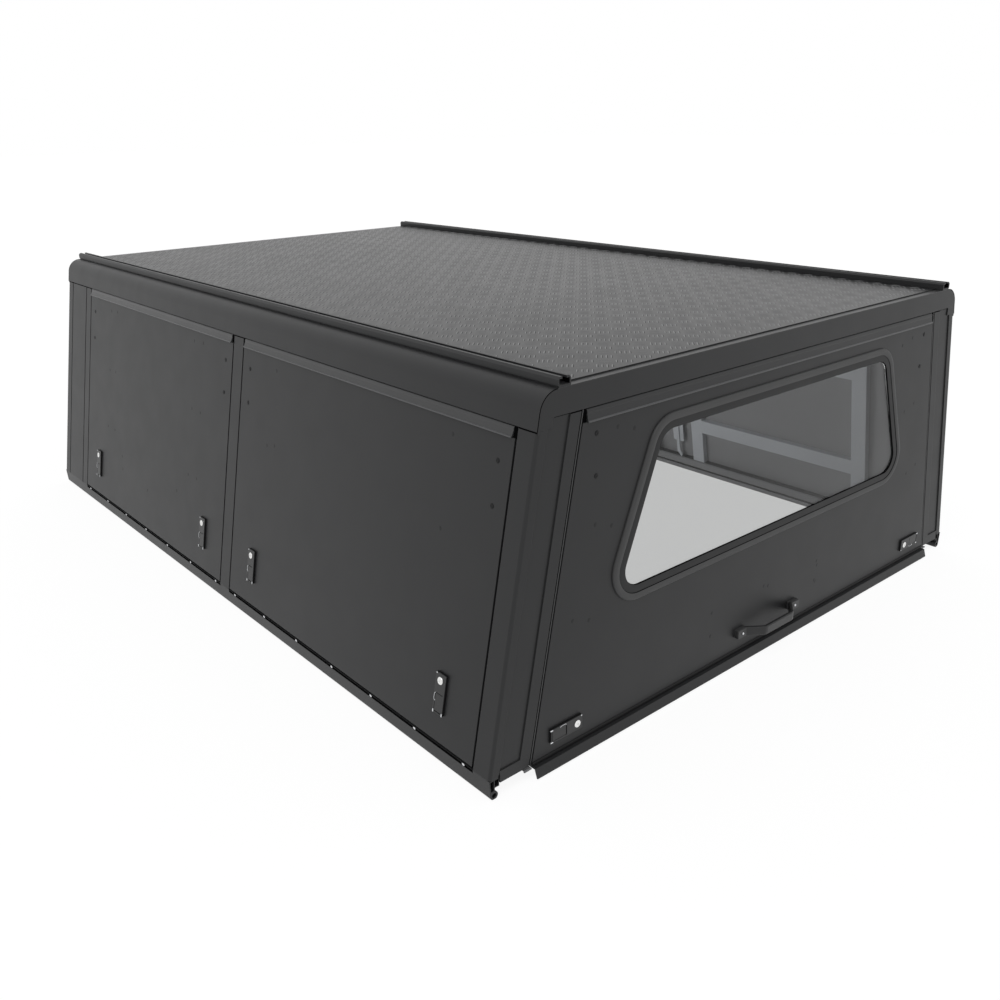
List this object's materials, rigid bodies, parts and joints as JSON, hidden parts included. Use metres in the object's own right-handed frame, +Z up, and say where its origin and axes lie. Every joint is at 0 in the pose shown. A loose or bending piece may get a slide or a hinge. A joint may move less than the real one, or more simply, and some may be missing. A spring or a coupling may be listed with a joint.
{
  "type": "pickup truck canopy",
  "caption": "Aluminium pickup truck canopy with leaning side walls, flip-up side doors, a top-hinged rear door with a window, and slotted roof rails.",
  "frame": {"origin": "centre of the bounding box on the plane of the bed rails, under the base rails' feet", "axes": "+X to the vehicle's right, +Y to the vehicle's front, +Z up"},
  "size_m": [1.66, 2.344, 0.76],
  "materials": {
    "coated_aluminium": "satin charcoal powder coat",
    "tread_sheet": "satin charcoal powder coat on raised tread",
    "black_latch": "semi-gloss black coat",
    "black_handle": "fine texture",
    "bare_aluminium": "mill finish",
    "rubber": "matt",
    "glass": "clear with a faint green edge"
  },
  "bodies": {
    "frame": {"base_rail_left": "coated_aluminium", "base_rail_right": "coated_aluminium", "rear_post_left": "coated_aluminium", "rear_post_right": "coated_aluminium", "front_post_left": "coated_aluminium", "front_post_right": "coated_aluminium", "mid_post_left": "coated_aluminium", "mid_post_right": "coated_aluminium", "rear_brackets": "bare_aluminium", "cant_rail_left": "coated_aluminium", "cant_rail_right": "coated_aluminium", "rear_header": "coated_aluminium", "front_header": "coated_aluminium", "roof_sheet": "tread_sheet", "roof_bows": "bare_aluminium", "accessory_rail_left": "coated_aluminium", "accessory_rail_right": "coated_aluminium", "front_wall": "coated_aluminium", "front_window_gasket": "rubber", "front_window_glass": "glass", "door_seals": "rubber"},
    "left_rear_door": {"left_rear_door_skin": "coated_aluminium", "left_rear_door_frame": "bare_aluminium", "left_rear_door_hinge": "coated_aluminium", "left_rear_latch_bodies": "black_latch"},
    "left_rear_paddle_1": {"left_rear_paddle_1": "black_latch"},
    "left_rear_paddle_2": {"left_rear_paddle_2": "black_latch"},
    "left_front_door": {"left_front_door_skin": "coated_aluminium", "left_front_door_frame": "bare_aluminium", "left_front_door_hinge": "coated_aluminium", "left_front_latch_bodies": "black_latch"},
    "left_front_paddle_1": {"left_front_paddle_1": "black_latch"},
    "left_front_paddle_2": {"left_front_paddle_2": "black_latch"},
    "right_rear_door": {"right_rear_door_skin": "coated_aluminium", "right_rear_door_frame": "bare_aluminium", "right_rear_door_hinge": "coated_aluminium", "right_rear_latch_bodies": "black_latch"},
    "right_rear_paddle_1": {"right_rear_paddle_1": "black_latch"},
    "right_rear_paddle_2": {"right_rear_paddle_2": "black_latch"},
    "right_front_door": {"right_front_door_skin": "coated_aluminium", "right_front_door_frame": "bare_aluminium", "right_front_door_hinge": "coated_aluminium", "right_front_latch_bodies": "black_latch"},
    "right_front_paddle_1": {"right_front_paddle_1": "black_latch"},
    "right_front_paddle_2": {"right_front_paddle_2": "black_latch"},
    "rear_door": {"rear_door_skin": "coated_aluminium", "rear_door_frame": "bare_aluminium", "rear_door_hinge": "coated_aluminium", "rear_door_flange": "coated_aluminium", "rear_window_gasket": "rubber", "rear_window_glass": "glass", "rear_door_handle": "black_handle", "rear_latch_bodies": "black_latch"},
    "rear_paddle_left": {"rear_paddle_left": "black_latch"},
    "rear_paddle_right": {"rear_paddle_right": "black_latch"}
  },
  "joints": [
    {"name": "left_rear_door_hinge", "type": "hinge", "parent": "frame", "child": "left_rear_door", "pos_m": [-0.70384, -0.5825, 0.6685], "axis": [0, 1, 0], "range_deg": [0, 74]},
    {"name": "left_rear_paddle_1_hinge", "type": "hinge", "parent": "left_rear_door", "child": "left_rear_paddle_1", "pos_m": [-0.81398, -0.964, 0.14164], "axis": [0, 1, 0], "range_deg": [0, 40], "stiffness_Nm_per_rad": 0.05},
    {"name": "left_rear_paddle_2_hinge", "type": "hinge", "parent": "left_rear_door", "child": "left_rear_paddle_2", "pos_m": [-0.81398, -0.201, 0.14164], "axis": [0, 1, 0], "range_deg": [0, 40], "stiffness_Nm_per_rad": 0.05},
    {"name": "left_front_door_hinge", "type": "hinge", "parent": "frame", "child": "left_front_door", "pos_m": [-0.70384, 0.4585, 0.6685], "axis": [0, 1, 0], "range_deg": [0, 74]},
    {"name": "left_front_paddle_1_hinge", "type": "hinge", "parent": "left_front_door", "child": "left_front_paddle_1", "pos_m": [-0.81398, 0.077, 0.14164], "axis": [0, 1, 0], "range_deg": [0, 40], "stiffness_Nm_per_rad": 0.05},
    {"name": "left_front_paddle_2_hinge", "type": "hinge", "parent": "left_front_door", "child": "left_front_paddle_2", "pos_m": [-0.81398, 0.84, 0.14164], "axis": [0, 1, 0], "range_deg": [0, 40], "stiffness_Nm_per_rad": 0.05},
    {"name": "right_rear_door_hinge", "type": "hinge", "parent": "frame", "child": "right_rear_door", "pos_m": [0.70384, -0.5825, 0.6685], "axis": [0, -1, 0], "range_deg": [0, 74]},
    {"name": "right_rear_paddle_1_hinge", "type": "hinge", "parent": "right_rear_door", "child": "right_rear_paddle_1", "pos_m": [0.81398, -0.964, 0.14164], "axis": [0, -1, 0], "range_deg": [0, 40], "stiffness_Nm_per_rad": 0.05},
    {"name": "right_rear_paddle_2_hinge", "type": "hinge", "parent": "right_rear_door", "child": "right_rear_paddle_2", "pos_m": [0.81398, -0.201, 0.14164], "axis": [0, -1, 0], "range_deg": [0, 40], "stiffness_Nm_per_rad": 0.05},
    {"name": "right_front_door_hinge", "type": "hinge", "parent": "frame", "child": "right_front_door", "pos_m": [0.70384, 0.4585, 0.6685], "axis": [0, -1, 0], "range_deg": [0, 74]},
    {"name": "right_front_paddle_1_hinge", "type": "hinge", "parent": "right_front_door", "child": "right_front_paddle_1", "pos_m": [0.81398, 0.077, 0.14164], "axis": [0, -1, 0], "range_deg": [0, 40], "stiffness_Nm_per_rad": 0.05},
    {"name": "right_front_paddle_2_hinge", "type": "hinge", "parent": "right_front_door", "child": "right_front_paddle_2", "pos_m": [0.81398, 0.84, 0.14164], "axis": [0, -1, 0], "range_deg": [0, 40], "stiffness_Nm_per_rad": 0.05},
    {"name": "rear_door_hinge", "type": "hinge", "parent": "frame", "child": "rear_door", "pos_m": [0, -1.1205, 0.6865], "axis": [-1, 0, 0], "range_deg": [0, 85]},
    {"name": "rear_paddle_left_hinge", "type": "hinge", "parent": "rear_door", "child": "rear_paddle_left", "pos_m": [-0.64342, -1.1291, 0.071], "axis": [0, 0, 1], "range_deg": [0, 40], "stiffness_Nm_per_rad": 0.05},
    {"name": "rear_paddle_right_hinge", "type": "hinge", "parent": "rear_door", "child": "rear_paddle_right", "pos_m": [0.64342, -1.1291, 0.071], "axis": [0, 0, -1], "range_deg": [0, 40], "stiffness_Nm_per_rad": 0.05}
  ]
}
